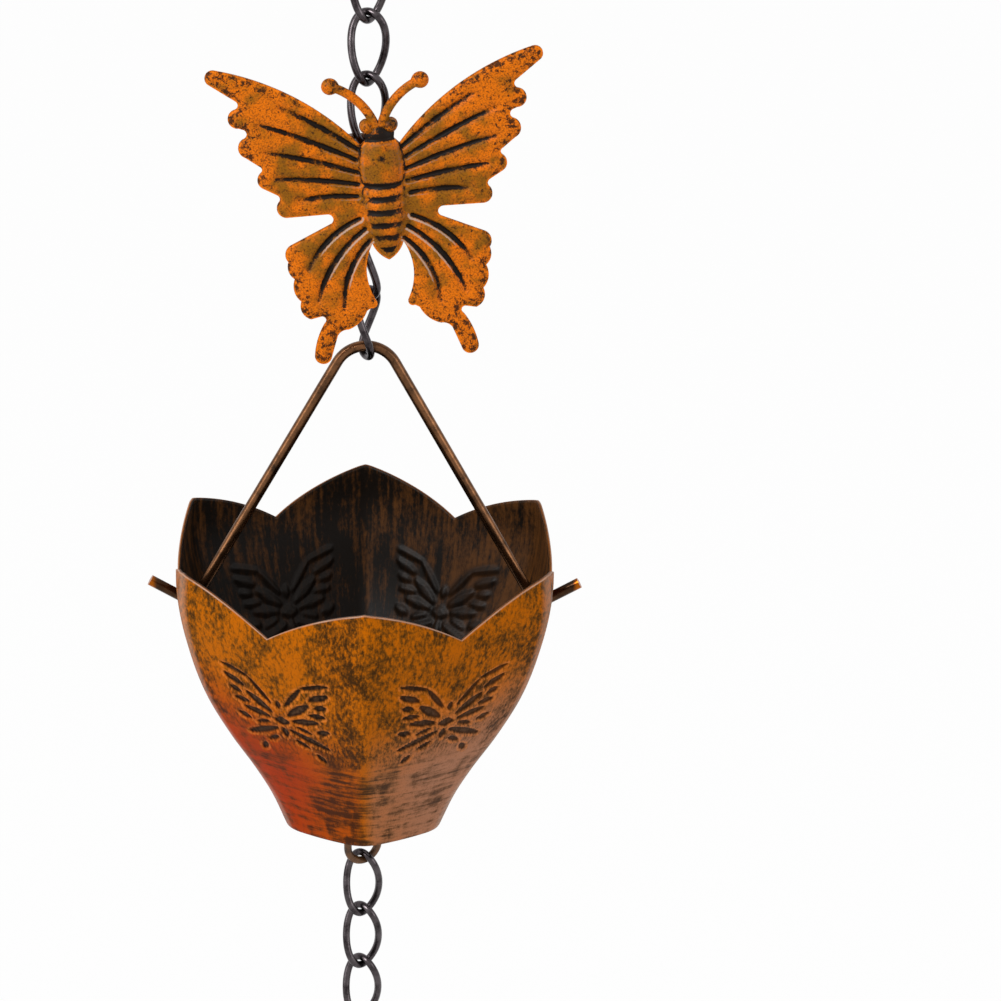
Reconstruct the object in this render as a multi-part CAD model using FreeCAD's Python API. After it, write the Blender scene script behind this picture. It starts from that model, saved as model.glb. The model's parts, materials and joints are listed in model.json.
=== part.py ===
import FreeCAD, Part
import math
import os

# One unit of a decorative rain chain, in millimetres: twisted chain links, a butterfly ornament,
# a wire bail and a six-sided petal cup, with more links below.
# +Z is up, +X is to the right of someone facing the butterfly, and -Y is towards them.
# The origin is where a hook bears in the eye of the top link.

V = FreeCAD.Vector
UP = V(0, 0, 1)

# Chain links
link_wire = 2.1
link_length = 21.3
link_width = 11.4
link_twist = 90.0
link_fullness = 0.3
link_play = 0.15
link_rings = 24
link_sides = 10
top_links_turn = 15.0
upper_middle_link_turn = 105.0
lower_middle_link_turn = 75.0

# Butterfly
wing_span = 89.0
drawn_span = 89.0
butterfly_lean = 5.0
butterfly_right = 3.6
butterfly_below_staple = 4.5
plate_thickness = 1.1
plate_stand_off = 7.0
body_set_back = 3.4
groove_width = 1.3
groove_depth = 0.55
antenna_wire = 2.5
antenna_ball = 4.6
eye_diameter = 3.9

# Staples on the butterfly's back
staple_wire = 2.0
staple_width = 11.8
staple_bend = 2.0
staple_right = -0.2
staple_spacing = 27.7

# Bail
bail_wire = 3.0
bail_rise = 74.7
bail_apex_bend = 9.0
bail_end_bend = 2.2
bail_stub = 11.0
bail_inset = 2.6
bail_hole = 5.0
bail_play = 0.4

# Cup
cup_corner_radius = 57.5
cup_foot_radius = 24.7
cup_height = 84.0
cup_sheet = 0.8
cup_panel_bulge = 2.3
petal_valley = 12.0
petal_bulge = 1.6
hole_below_peaks = 19.0
stamp_below_peaks = 37.5
stamp_depth = 0.4

# Dipped cross-wire in the cup's bottom
loop_wire = 2.2
loop_width = 10.0
loop_drop = 16.2
loop_flat = 0.02
loop_bend = 3.0
loop_above_bottom = 3.0
loop_turn = 30.0

# Places down the chain, from the hook's bearing point
link_half = (link_length - link_wire) / 2
link_pitch = link_length - 2 * link_wire - link_play
top_link_z = -(link_half - link_wire / 2)
third_link_z = top_link_z - 2 * link_pitch
upper_staple_z = third_link_z - link_half + (link_wire + staple_wire) / 2 + link_play
lower_staple_z = upper_staple_z - staple_spacing
fourth_link_z = lower_staple_z + (link_wire + staple_wire) / 2 + link_play - link_half
fifth_link_z = fourth_link_z - link_pitch
bail_apex_z = fifth_link_z - link_half + (link_wire + bail_wire) / 2 + bail_play
hole_z = bail_apex_z - bail_rise
rim_z = hole_z + hole_below_peaks
cup_bottom_z = rim_z - cup_height
loop_low_z = cup_bottom_z - loop_drop
sixth_link_z = loop_low_z + (link_wire + loop_wire) / 2 + link_play - link_half


def link_path(t):
    """Centre line of a twisted link about its own centre, for t from 0 to 2 pi."""
    z = link_half * math.cos(t)
    x = (link_width - link_wire) / 2 * math.sin(t) * (1 + link_fullness * math.cos(t) ** 2)
    turn = -math.radians(link_twist / 2) * math.cos(t)
    return V(x * math.cos(turn), x * math.sin(turn), z)


def link_ring(t):
    """Points round the wire at one place of the link's centre line."""
    centre = link_path(t)
    along = link_path(t + 0.001) - link_path(t - 0.001)
    along.normalize()
    outward = centre - along * centre.dot(along)
    outward.normalize()
    across = along.cross(outward)
    step = 2 * math.pi / link_sides
    radius = link_wire / 2 * math.sqrt(step / math.sin(step))
    ring = []
    for side in range(link_sides):
        angle = side * step
        ring.append(centre + outward * (radius * math.cos(angle)) + across * (radius * math.sin(angle)))
    return ring


def twisted_link():
    """One closed wire link, each end turned half the twist from its middle."""
    rings = [link_ring(2 * math.pi * n / link_rings) for n in range(link_rings)]
    faces = []
    for n in range(link_rings):
        here = rings[n]
        after = rings[(n + 1) % link_rings]
        for side in range(link_sides):
            other = (side + 1) % link_sides
            a, b, c, d = here[side], here[other], after[side], after[other]
            faces.append(Part.Face(Part.makePolygon([a, b, c, a])))
            faces.append(Part.Face(Part.makePolygon([b, d, c, b])))
    solid = Part.Solid(Part.Shell(faces))
    if solid.Volume < 0:
        solid.reverse()
    return solid


def placed_link(link, height, turn):
    """A link with its centre on the chain's line, turned about that line."""
    copy = link.copy()
    copy.rotate(V(0, 0, 0), UP, turn)
    copy.translate(V(0, 0, height))
    return copy


def bent_wire(corners, bends, diameter):
    """A round wire through corner points, with a bend radius at each inner corner."""
    edges = []
    start = corners[0]
    for n, bend in enumerate(bends):
        corner = corners[n + 1]
        back = corners[n] - corner
        ahead = corners[n + 2] - corner
        back.normalize()
        ahead.normalize()
        half_angle = back.getAngle(ahead) / 2
        reach = bend / math.tan(half_angle)
        middle = back + ahead
        middle.normalize()
        crown = corner + middle * (bend / math.sin(half_angle) - bend)
        edges.append(Part.makeLine(start, corner + back * reach))
        edges.append(Part.Arc(corner + back * reach, crown, corner + ahead * reach).toShape())
        start = corner + ahead * reach
    edges.append(Part.makeLine(start, corners[-1]))
    path = Part.Wire(edges)
    ring = Part.Wire([Part.Circle(corners[0], corners[1] - corners[0], diameter / 2).toShape()])
    return path.makePipeShell([ring], True, True)


def staple(height):
    """U-shaped wire that stands out behind the butterfly, its cross-wire on the chain's line."""
    left = staple_right - (staple_width - staple_wire) / 2
    right = staple_right + (staple_width - staple_wire) / 2
    corners = [V(left, -plate_stand_off, height), V(left, 0, height),
               V(right, 0, height), V(right, -plate_stand_off, height)]
    return bent_wire(corners, [staple_bend, staple_bend], staple_wire)


# Right half of the butterfly's outline, from the top of the head round to the tip of the body.
# A step with one point is a straight edge, and a step with two is an arc through the first.
HEAD_TOP = (0.0, 10.4)
HALF_OUTLINE = [
    [(1.8, 11.1)],
    [(5.1, 10.1), (4.1, 8.0)],
    [(3.8, 6.0)],
    [(5.2, 4.6)],
    [(22.9, 19.8), (41.9, 27.8)],
    [(44.5, 26.2), (43.6, 24.0)],
    [(37.0, 19.1)],
    [(36.5, 18.0), (37.7, 16.8)],
    [(39.5, 14.3), (36.8, 11.7)],
    [(35.5, 11.2)],
    [(34.9, 10.3), (36.0, 8.7)],
    [(37.5, 6.2), (35.8, 3.6)],
    [(32.4, 1.0)],
    [(31.7, 0.1), (32.2, -0.9)],
    [(33.2, -3.0), (31.9, -5.2)],
    [(28.3, -7.3)],
    [(27.7, -8.3), (28.2, -9.4)],
    [(28.7, -11.6), (26.4, -13.7)],
    [(15.3, -13.6)],
    [(14.0, -14.9), (14.6, -16.3)],
    [(26.0, -21.5)],
    [(27.6, -23.6), (27.0, -26.0)],
    [(27.3, -28.0), (25.7, -30.9)],
    [(26.2, -33.9), (24.5, -37.3)],
    [(24.6, -40.2), (22.3, -42.5)],
    [(19.3, -41.9)],
    [(18.3, -42.7), (18.8, -44.0)],
    [(21.1, -48.5), (22.2, -53.0)],
    [(20.2, -55.4), (17.6, -53.6)],
    [(16.4, -50.2), (15.5, -47.7)],
    [(14.4, -46.6), (12.5, -46.2)],
    [(9.3, -44.4), (7.1, -41.3)],
    [(5.9, -40.6)],
    [(4.4, -40.2), (4.3, -38.8)],
    [(6.3, -31.0), (4.2, -22.6)],
    [(2.6, -25.4), (0.0, -27.4)],
]

# Grooves that divide the right wings, each an arc by its inner end, middle and outer end.
GROOVES = [
    [(5.9, 3.6), (15.4, 10.4), (25.2, 16.4)],
    [(6.6, 0.8), (19.8, 7.4), (30.9, 12.1)],
    [(6.4, -2.6), (19.4, 1.7), (30.4, 4.5)],
    [(6.5, -5.9), (16.7, -4.1), (28.0, -2.9)],
    [(7.0, -9.2), (14.7, -8.7), (22.4, -9.1)],
    [(7.0, -15.4), (15.6, -20.6), (21.8, -28.5)],
    [(5.7, -18.3), (14.4, -26.6), (19.8, -37.4)],
    [(4.5, -21.5), (10.6, -29.5), (12.9, -39.6)],
]

# Half-widths of the body where it meets the wings, down its axis: crests and the creases between.
BODY_CRESTS = [(8.4, 3.6), (0.0, 5.9), (-8.0, 5.6), (-11.6, 6.0), (-15.2, 5.8), (-18.9, 4.9), (-22.4, 3.5)]
BODY_CREASES = [(10.9, 1.2), (6.1, 3.4), (-6.1, 4.2), (-9.8, 4.9), (-13.4, 5.1), (-17.1, 4.6), (-20.7, 3.5),
                (-24.3, 1.9)]
BODY_TIP = -27.4
EYE_PLACE = (3.1, 9.7)
ANTENNA = [(0.7, 9.4), (5.2, 17.0), (11.9, 21.3)]


def drawn(point, depth=0.0, side=1):
    """A point of the butterfly's drawing at the wanted span, in the butterfly's own frame."""
    scale = wing_span / drawn_span
    return V(side * point[0] * scale, depth, point[1] * scale)


def outline_edges(side):
    """Edges of one half of the outline, side 1 for the right and -1 for the left."""
    edges = []
    start = drawn(HEAD_TOP, 0, side)
    for step in HALF_OUTLINE:
        end = drawn(step[-1], 0, side)
        if len(step) == 1:
            edges.append(Part.makeLine(start, end))
        else:
            edges.append(Part.Arc(start, drawn(step[0], 0, side), end).toShape())
        start = end
    return edges


def wing_plate():
    """Flat plate with the scalloped outline of all four wings, its back at depth 0."""
    edges = outline_edges(1) + outline_edges(-1)
    outline = Part.Wire(Part.__sortEdges__(edges))
    return Part.Face(outline).extrude(V(0, -plate_thickness, 0))


def wing_groove(points, side):
    """V-shaped cutter along one groove of a wing's front face."""
    face = -plate_thickness
    start, middle, end = [drawn(p, face, side) for p in points]
    path = Part.Wire([Part.Arc(start, middle, end).toShape()])
    along = path.Edges[0].tangentAt(path.Edges[0].FirstParameter)
    across = along.cross(V(0, 1, 0)) * (groove_width / 2)
    proud = V(0, -groove_depth, 0)
    corners = [start + across * 2 + proud, start - proud, start - across * 2 + proud]
    profile = Part.makePolygon(corners + [corners[0]])
    return path.makePipeShell([profile], True, True)


def body_radius(half_width):
    """Radius about the set-back body axis that gives a half-width at the plate's face."""
    return math.hypot(half_width * wing_span / drawn_span, body_set_back)


def body():
    """Head, thorax and ringed abdomen, turned about an axis behind the plate's face."""
    scale = wing_span / drawn_span
    creases = [V(body_radius(w), 0, z * scale) for z, w in BODY_CREASES]
    crests = [V(body_radius(w), 0, z * scale) for z, w in BODY_CRESTS]
    tip = V(body_set_back, 0, BODY_TIP * scale)
    edges = []
    for crease, crest, after in zip(creases, crests, creases[1:]):
        edges.append(Part.Arc(crease, crest, after).toShape())
    edges.append(Part.makeLine(creases[-1], tip))
    edges.append(Part.makeLine(tip, V(0, 0, tip.z)))
    edges.append(Part.makeLine(V(0, 0, tip.z), V(0, 0, creases[0].z)))
    edges.append(Part.makeLine(V(0, 0, creases[0].z), creases[0]))
    turned = Part.Face(Part.Wire(edges)).revolve(V(0, 0, 0), UP, 360)
    turned.translate(V(0, body_set_back - plate_thickness, 0))
    return turned


def antenna(side):
    """Curved feeler with a ball at its end."""
    depth = -antenna_wire / 2
    start, middle, end = [drawn(p, depth, side) for p in ANTENNA]
    curve = Part.Arc(start, middle, end).toShape()
    ring = Part.Wire([Part.Circle(start, curve.tangentAt(curve.FirstParameter), antenna_wire / 2).toShape()])
    stem = Part.Wire([curve]).makePipeShell([ring], True, True)
    return stem.fuse(Part.makeSphere(antenna_ball / 2, end))


def butterfly():
    """The ornament as one pressed piece with a flat back, leaning a little to one side."""
    forms = [body()]
    for side in (1, -1):
        forms.append(antenna(side))
        forms.append(Part.makeSphere(eye_diameter / 2, drawn(EYE_PLACE, -plate_thickness, side)))
    cutters = [wing_groove(points, side) for points in GROOVES for side in (1, -1)]
    plate = wing_plate().cut(cutters)
    whole = plate.fuse(forms)
    reach = wing_span
    front = Part.makeBox(2 * reach, reach, 2 * reach, V(-reach, -reach, -reach))
    whole = whole.common(front).removeSplitter()
    whole = whole.Solids[0]
    whole.rotate(V(0, 0, 0), V(0, 1, 0), -butterfly_lean)
    whole.translate(V(butterfly_right, -plate_stand_off, upper_staple_z - butterfly_below_staple))
    return whole


# Corner radius of the cup down its height, from 1 at the rim to 0 at the foot.
CUP_PROFILE = [(0.0, 1.0), (0.12, 1.01), (0.285, 0.921), (0.45, 0.77), (0.615, 0.54), (0.76, 0.31),
               (0.89, 0.125), (1.0, 0.0)]

# Leaf-shaped cells of the small butterfly stamped in each panel: inner tip, outer tip and width,
# for its right half, measured on the panel from the middle of its body.
STAMP_CELLS = [
    [(2.3, 4.6), (8.0, 12.0), 1.2],
    [(8.6, 12.5), (16.6, 15.0), 1.2],
    [(10.6, 8.7), (16.0, 11.4), 1.7],
    [(11.8, 6.0), (14.9, 7.0), 1.5],
    [(9.6, 3.0), (13.9, 3.3), 1.5],
    [(2.9, 1.2), (9.3, 6.4), 1.9],
    [(3.9, -0.9), (11.3, 0.6), 1.7],
    [(10.8, -3.5), (14.0, -2.5), 1.6],
    [(4.5, -2.9), (8.5, -4.4), 1.2],
    [(2.2, -4.9), (12.4, -9.6), 1.7],
    [(3.0, -8.6), (6.2, -10.6), 1.3],
    [(8.2, -13.0), (9.8, -15.4), 1.5],
]
STAMP_BODY = [
    [(0.0, 3.4), (0.0, 5.6), 1.4],
    [(-1.6, -1.6), (1.6, -1.6), 2.4],
    [(0.0, -4.6), (0.0, -7.6), 1.5],
]


def cup_apothem(radius):
    """Distance from the cup's axis to the middle of a bulged panel."""
    return radius * (math.cos(math.pi / 6) + cup_panel_bulge / cup_corner_radius)


def cup_radius(blend):
    """Corner radius between the foot's and the rim's."""
    return cup_foot_radius + blend * (cup_corner_radius - cup_foot_radius)


def panel_distance(below_peaks):
    """Distance from the cup's axis to the middle of a panel, at a height below the petal peaks."""
    down = below_peaks / cup_height
    for (d0, b0), (d1, b1) in zip(CUP_PROFILE, CUP_PROFILE[1:]):
        if d0 <= down <= d1:
            blend = b0 + (b1 - b0) * (down - d0) / (d1 - d0)
    return cup_apothem(cup_radius(blend))


def cup_section(radius, height):
    """Six-sided outline with slightly bulged sides, one corner straight in front."""
    edges = []
    for n in range(6):
        first = math.radians(60 * n + 30)
        middle = first + math.radians(30)
        last = first + math.radians(60)
        points = [V(radius * math.cos(first), radius * math.sin(first), height),
                  V(cup_apothem(radius) * math.cos(middle), cup_apothem(radius) * math.sin(middle), height),
                  V(radius * math.cos(last), radius * math.sin(last), height)]
        edges.append(Part.Arc(*points).toShape())
    return Part.Wire(edges)


def cup_form(inset, overrun):
    """Solid inside the cup's wall surface moved in by inset, run on past both ends by overrun."""
    inset_corner = inset / math.cos(math.pi / 6)
    sections = []
    for down, blend in CUP_PROFILE:
        height = rim_z - down * cup_height
        if down == 0.0:
            height += overrun + petal_bulge
        if down == 1.0:
            height -= overrun
        sections.append(cup_section(cup_radius(blend) - inset_corner, height))
    return Part.makeLoft(sections, True, False)


def petal_cutter(angle):
    """Removes what stands above one panel's two petal edges."""
    corner = cup_corner_radius / 2
    beyond = corner + 6 * petal_bulge
    middle = V(0, corner / 2, -petal_valley / 2 + petal_bulge)
    edges = []
    for side in (1, -1):
        peak = V(0, side * corner, 0)
        outer = V(0, side * beyond, 2 * petal_bulge)
        above = V(0, side * beyond, petal_valley)
        crest = V(0, side * middle.y, middle.z)
        edges.append(Part.Arc(V(0, 0, -petal_valley), crest, peak).toShape())
        edges.append(Part.makeLine(peak, outer))
        edges.append(Part.makeLine(outer, above))
    edges.append(Part.makeLine(V(0, beyond, petal_valley), V(0, -beyond, petal_valley)))
    profile = Part.Wire(Part.__sortEdges__(edges))
    cutter = Part.Face(profile).extrude(V(2 * cup_corner_radius, 0, 0))
    cutter.translate(V(cup_corner_radius / 3, 0, rim_z))
    cutter.rotate(V(0, 0, 0), UP, angle)
    return cutter


def panel_point(panel, right, up):
    """Point on the panel's surface, measured along it from the middle of the stamp."""
    step = cup_height / 20
    fall = panel_distance(stamp_below_peaks - step) - panel_distance(stamp_below_peaks + step)
    slant = math.atan2(fall, 2 * step)
    near = V(panel_distance(stamp_below_peaks) + up * math.sin(slant), right,
             rim_z - stamp_below_peaks + up * math.cos(slant))
    return panel.Surface.value(*panel.Surface.parameter(near))


def stamp_cell(panel, inner, outer, width, depth):
    """Leaf-shaped cutter with a flat floor at a depth below the panel."""
    first = panel_point(panel, *inner)
    last = panel_point(panel, *outer)
    middle = (first + last) * 0.5
    outward = panel.normalAt(*panel.Surface.parameter(middle))
    across = outward.cross(last - first)
    across.normalize()
    edges = [Part.Arc(first, middle + across * (width / 2), last).toShape(),
             Part.Arc(last, middle - across * (width / 2), first).toShape()]
    leaf = Part.Face(Part.Wire(edges))
    leaf.translate(outward * -depth)
    return leaf.extrude(outward * (depth + cup_sheet))


def panel_stamp(panel, depth):
    """Cutters for one panel's small butterfly."""
    cells = list(STAMP_BODY)
    for inner, outer, width in STAMP_CELLS:
        cells.append([inner, outer, width])
        cells.append([(-inner[0], inner[1]), (-outer[0], outer[1]), width])
    return [stamp_cell(panel, *cell, depth) for cell in cells]


def around_the_cup(shapes):
    """The same shapes at all six panels."""
    copies = []
    for n in range(6):
        for shape in shapes:
            copy = shape.copy()
            copy.rotate(V(0, 0, 0), UP, 60 * n)
            copies.append(copy)
    return copies


def cup():
    """Thin six-sided cup, open below, with petal points, stamped panels and two bail holes."""
    outside = cup_form(0, 0)
    panel = max(outside.Faces, key=lambda face: face.CenterOfMass.x)
    outside = outside.cut(around_the_cup(panel_stamp(panel, stamp_depth)))
    inside = cup_form(cup_sheet, cup_sheet)
    inside = inside.cut(around_the_cup(panel_stamp(panel, cup_sheet + stamp_depth)))
    wall = outside.cut(inside)
    cutters = [petal_cutter(60 * n) for n in range(6)]
    reach = 2 * cup_corner_radius
    cutters.append(Part.makeCylinder(bail_hole / 2, 2 * reach, V(-reach, 0, hole_z), V(1, 0, 0)))
    return wall.cut(cutters).Solids[0]


def panel_wall_x():
    """Middle of the wall at the bail holes."""
    return panel_distance(hole_below_peaks) - cup_sheet / 2


def bail():
    """Bent wire handle whose turned-up ends pass out through the cup's side holes."""
    wall_x = panel_wall_x()
    lean = math.radians(31)
    for _ in range(20):
        corner_x = wall_x - bail_inset * math.cos(lean)
        corner_z = hole_z - bail_inset * math.sin(lean)
        peak_z = bail_apex_z + bail_apex_bend * (1 / math.sin(lean) - 1)
        lean = math.atan2(corner_x, peak_z - corner_z)
    end_x = wall_x + bail_stub * math.cos(lean)
    end_z = hole_z + bail_stub * math.sin(lean)
    corners = [V(-end_x, 0, end_z), V(-corner_x, 0, corner_z), V(0, 0, peak_z),
               V(corner_x, 0, corner_z), V(end_x, 0, end_z)]
    return bent_wire(corners, [bail_end_bend, bail_apex_bend, bail_end_bend], bail_wire)


def cup_loop(cup_solid):
    """Cross-wire welded in two opposite corners of the cup's bottom, dipped to carry a link."""
    half = loop_width / 2
    bar_z = cup_bottom_z + loop_above_bottom
    reach = cup_foot_radius + 2 * loop_above_bottom
    corners = [V(-reach, 0, bar_z), V(-half, 0, bar_z), V(-half, 0, loop_low_z),
               V(half, 0, loop_low_z), V(half, 0, bar_z), V(reach, 0, bar_z)]
    low_bend = half - loop_flat
    wire = bent_wire(corners, [loop_bend, low_bend, low_bend, loop_bend], loop_wire)
    wire.rotate(V(0, 0, 0), UP, loop_turn)
    pieces = wire.cut(cup_solid).Solids
    return max(pieces, key=lambda piece: piece.Volume)


def make_parts():
    """Every piece by its node's name."""
    link = twisted_link()
    cup_solid = cup()
    return {
        "top_link_1": placed_link(link, top_link_z, top_links_turn),
        "top_link_2": placed_link(link, top_link_z - link_pitch, top_links_turn),
        "top_link_3": placed_link(link, third_link_z, top_links_turn),
        "butterfly": butterfly(),
        "upper_staple": staple(upper_staple_z),
        "lower_staple": staple(lower_staple_z),
        "middle_link_1": placed_link(link, fourth_link_z, upper_middle_link_turn),
        "middle_link_2": placed_link(link, fifth_link_z, lower_middle_link_turn),
        "bail": bail(),
        "cup": cup_solid,
        "cup_loop": cup_loop(cup_solid),
        "bottom_link_1": placed_link(link, sixth_link_z, 0),
        "bottom_link_2": placed_link(link, sixth_link_z - link_pitch, 0),
        "bottom_link_3": placed_link(link, sixth_link_z - 2 * link_pitch, 0),
    }


os.makedirs("parts", exist_ok=True)
for name, shape in make_parts().items():
    shape.exportStep("parts/" + name + ".step")
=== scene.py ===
import json
import math

import bpy
import numpy as np
from mathutils import Matrix, Vector, geometry


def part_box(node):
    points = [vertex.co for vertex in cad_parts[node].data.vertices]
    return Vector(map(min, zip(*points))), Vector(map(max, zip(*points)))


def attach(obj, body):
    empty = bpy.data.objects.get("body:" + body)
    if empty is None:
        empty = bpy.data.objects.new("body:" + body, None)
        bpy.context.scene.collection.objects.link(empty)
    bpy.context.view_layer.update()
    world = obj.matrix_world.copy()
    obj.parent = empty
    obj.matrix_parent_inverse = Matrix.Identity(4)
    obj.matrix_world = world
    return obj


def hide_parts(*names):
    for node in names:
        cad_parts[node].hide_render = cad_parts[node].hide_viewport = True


# Looks of one unit of a butterfly rain chain: links, stamped butterfly, bail and petal cup.
# The pieces' lengths are in millimetres and go into the meshes in metres, in the part's own frame.
# The camera, the floor and the lamps are placed in metres.

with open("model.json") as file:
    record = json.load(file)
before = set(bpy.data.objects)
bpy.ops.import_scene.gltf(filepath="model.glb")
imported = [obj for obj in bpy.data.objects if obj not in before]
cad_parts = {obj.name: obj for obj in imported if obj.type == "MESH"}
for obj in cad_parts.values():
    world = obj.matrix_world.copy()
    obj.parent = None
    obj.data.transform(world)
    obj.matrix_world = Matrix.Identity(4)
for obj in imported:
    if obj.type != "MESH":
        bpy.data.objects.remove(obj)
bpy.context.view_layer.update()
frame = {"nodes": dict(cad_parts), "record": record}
MM = 0.001
FAR = 1e9

# Chain links, as in the part
link_wire = 2.1
link_length = 21.3
link_width = 11.4
link_twist = 90.0
link_fullness = 0.3
link_turns = {"top_link_1": 15.0, "top_link_2": 15.0, "top_link_3": 15.0, "middle_link_1": 105.0,
              "middle_link_2": 75.0, "bottom_link_1": 0.0, "bottom_link_2": 0.0, "bottom_link_3": 0.0}
link_rings = 84
link_sides = 18

# Butterfly, as in the part
butterfly_lean = 5.0
butterfly_place = (3.6, -7.0, -54.35)
plate_thickness = 1.1
body_set_back = 3.4
groove_width = 1.3
groove_depth = 0.7
wing_puff = 0.5
antenna_wire = 2.5
antenna_ball = 4.6
eye_diameter = 3.9

# Butterfly's finer relief and mesh
relief_spacing = 0.42
wing_drop = 0.15
puff_reach = 2.6
edge_rounding = 0.35
edge_width = 0.6
bank_height = 0.2
dimple_depth = 0.3
thorax_fullness = 0.3
ring_fullness = 0.55
feeler_flatness = 0.8
eye_darkness = 0.38

# Cup, as in the part
cup_corner_radius = 57.5
cup_foot_radius = 24.7
cup_height = 84.0
cup_sheet = 0.8
cup_panel_bulge = 2.3
petal_valley = 12.0
petal_bulge = 1.6
rim_z = -164.25
hole_z = -183.25
bail_hole = 5.0
bail_reach = 60.5
stamp_down = 37.5
stamp_depth = 0.55
stamp_edge = 0.7

# Cup's finer shape and mesh: its columns are spaced in millimetres, its rows in shares of the height
stamp_stretch = 1.08
petal_stretch = 1.004
corner_softness = 2.5
corner_rounds = 14
foot_softness = 9.0
foot_rounds = 90
corner_strip = 3.0
stamp_reach = 19.0
column_spacings = [0.6, 1.6, 0.56, 1.6, 0.6]
row_places = [0.0, 0.02, 0.14, 0.62, 0.97, 1.0]
row_spacings = [0.01, 0.014, 0.0088, 0.022, 0.01]
drill_sides = 32

# Camera, from the photograph's vanishing of the cup's rim
camera_place = (0.0, -0.920, 0.2004)
camera_pitch = 21.05
camera_roll = 0.39
camera_lens = 128.1
camera_shift = 0.135

# Studio: the floor, the light from all round, and each lamp's place, size and power
floor_z = -0.62
floor_half = 9.0
floor_glow = 0.97
world_light = 0.45
lamp_target = (0.0, 0.0, -0.15)
lamps = {
    "key": ((-0.9, -1.0, 0.9), 0.6, 19.0),
    "fill": ((1.2, -0.7, 0.2), 0.8, 5.0),
    "left_fill": ((-1.2, -0.6, 0.15), 0.6, 3.6),
}


def make_piece(name, points, faces, numbers=None):
    """A smooth mesh object from points in millimetres, with any per-point numbers its paint needs."""
    mesh = bpy.data.meshes.new(name)
    mesh.from_pydata((np.asarray(points) * MM).tolist(), [], faces)
    for key, values in (numbers or {}).items():
        attribute = mesh.attributes.new(key, "FLOAT", "POINT")
        attribute.data.foreach_set("value", np.asarray(values, dtype=np.float32))
    mesh.polygons.foreach_set("use_smooth", [True] * len(mesh.polygons))
    mesh.update()
    piece = bpy.data.objects.new(name, mesh)
    bpy.context.scene.collection.objects.link(piece)
    return piece


def tube_faces(rings, sides, closed=False):
    """Quads between rings of points, and end caps where the tube isn't closed on itself."""
    faces = []
    for n in range(rings if closed else rings - 1):
        here = n * sides
        after = (n + 1) % rings * sides
        for side in range(sides):
            other = (side + 1) % sides
            faces.append((here + side, here + other, after + other, after + side))
    if not closed:
        faces.append(tuple(reversed(range(sides))))
        faces.append(tuple(range((rings - 1) * sides, rings * sides)))
    return faces


def full_turn(count):
    """Evenly spaced angles round a circle."""
    return np.linspace(0, 2 * math.pi, count, endpoint=False)


def unit(vectors):
    """Vectors of length one in the same directions."""
    return vectors / np.linalg.norm(vectors, axis=-1, keepdims=True)


def turned(points, degrees, first, second):
    """Points turned in the plane of two axes."""
    angle = math.radians(degrees)
    result = points.copy()
    result[:, first] = points[:, first] * math.cos(angle) - points[:, second] * math.sin(angle)
    result[:, second] = points[:, first] * math.sin(angle) + points[:, second] * math.cos(angle)
    return result


# Chain links

def link_path(t):
    """Centre line of a twisted link about its own centre."""
    z = (link_length - link_wire) / 2 * np.cos(t)
    x = (link_width - link_wire) / 2 * np.sin(t) * (1 + link_fullness * np.cos(t) ** 2)
    turn = -math.radians(link_twist / 2) * np.cos(t)
    return np.stack([x * np.cos(turn), x * np.sin(turn), z], axis=-1)


def chain_link(node, body):
    """Round wire link in the place of a faceted one."""
    low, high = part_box(node)
    t = full_turn(link_rings)
    centre = link_path(t)
    along = unit(link_path(t + 0.001) - link_path(t - 0.001))
    outward = unit(centre - along * np.sum(centre * along, axis=1)[:, None])
    across = np.cross(along, outward)
    angle = full_turn(link_sides)[None, :, None]
    ring = outward[:, None] * np.cos(angle) + across[:, None] * np.sin(angle)
    points = (centre[:, None] + ring * link_wire / 2).reshape(-1, 3)
    points = turned(points, link_turns[node], 0, 1)
    points[:, 2] += (low.z + high.z) / 2 / MM
    piece = make_piece(node + "_wire", points, tube_faces(link_rings, link_sides, closed=True))
    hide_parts(node)
    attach(piece, body)
    return piece


# Butterfly drawing: right half of the outline from the head down, one point for a straight edge
# and two for an arc through the first.
HEAD_TOP = (0.0, 10.4)
HALF_OUTLINE = [
    [(1.8, 11.1)],
    [(5.1, 10.1), (4.1, 8.0)],
    [(3.8, 6.0)],
    [(5.2, 4.6)],
    [(22.9, 19.8), (41.9, 27.8)],
    [(44.5, 26.2), (43.6, 24.0)],
    [(37.0, 19.1)],
    [(36.5, 18.0), (37.7, 16.8)],
    [(39.5, 14.3), (36.8, 11.7)],
    [(35.5, 11.2)],
    [(34.9, 10.3), (36.0, 8.7)],
    [(37.5, 6.2), (35.8, 3.6)],
    [(32.4, 1.0)],
    [(31.7, 0.1), (32.2, -0.9)],
    [(33.2, -3.0), (31.9, -5.2)],
    [(28.3, -7.3)],
    [(27.7, -8.3), (28.2, -9.4)],
    [(28.7, -11.6), (26.4, -13.7)],
    [(15.3, -13.6)],
    [(14.0, -14.9), (14.6, -16.3)],
    [(26.0, -21.5)],
    [(27.6, -23.6), (27.0, -26.0)],
    [(27.3, -28.0), (25.7, -30.9)],
    [(26.2, -33.9), (24.5, -37.3)],
    [(24.6, -40.2), (22.3, -42.5)],
    [(19.3, -41.9)],
    [(18.3, -42.7), (18.8, -44.0)],
    [(21.1, -48.5), (22.2, -53.0)],
    [(20.2, -55.4), (17.6, -53.6)],
    [(16.4, -50.2), (15.5, -47.7)],
    [(14.4, -46.6), (12.5, -46.2)],
    [(9.3, -44.4), (7.1, -41.3)],
    [(5.9, -40.6)],
    [(4.4, -40.2), (4.3, -38.8)],
    [(6.3, -31.0), (4.2, -22.6)],
    [(2.6, -25.4), (0.0, -27.4)],
]

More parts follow.
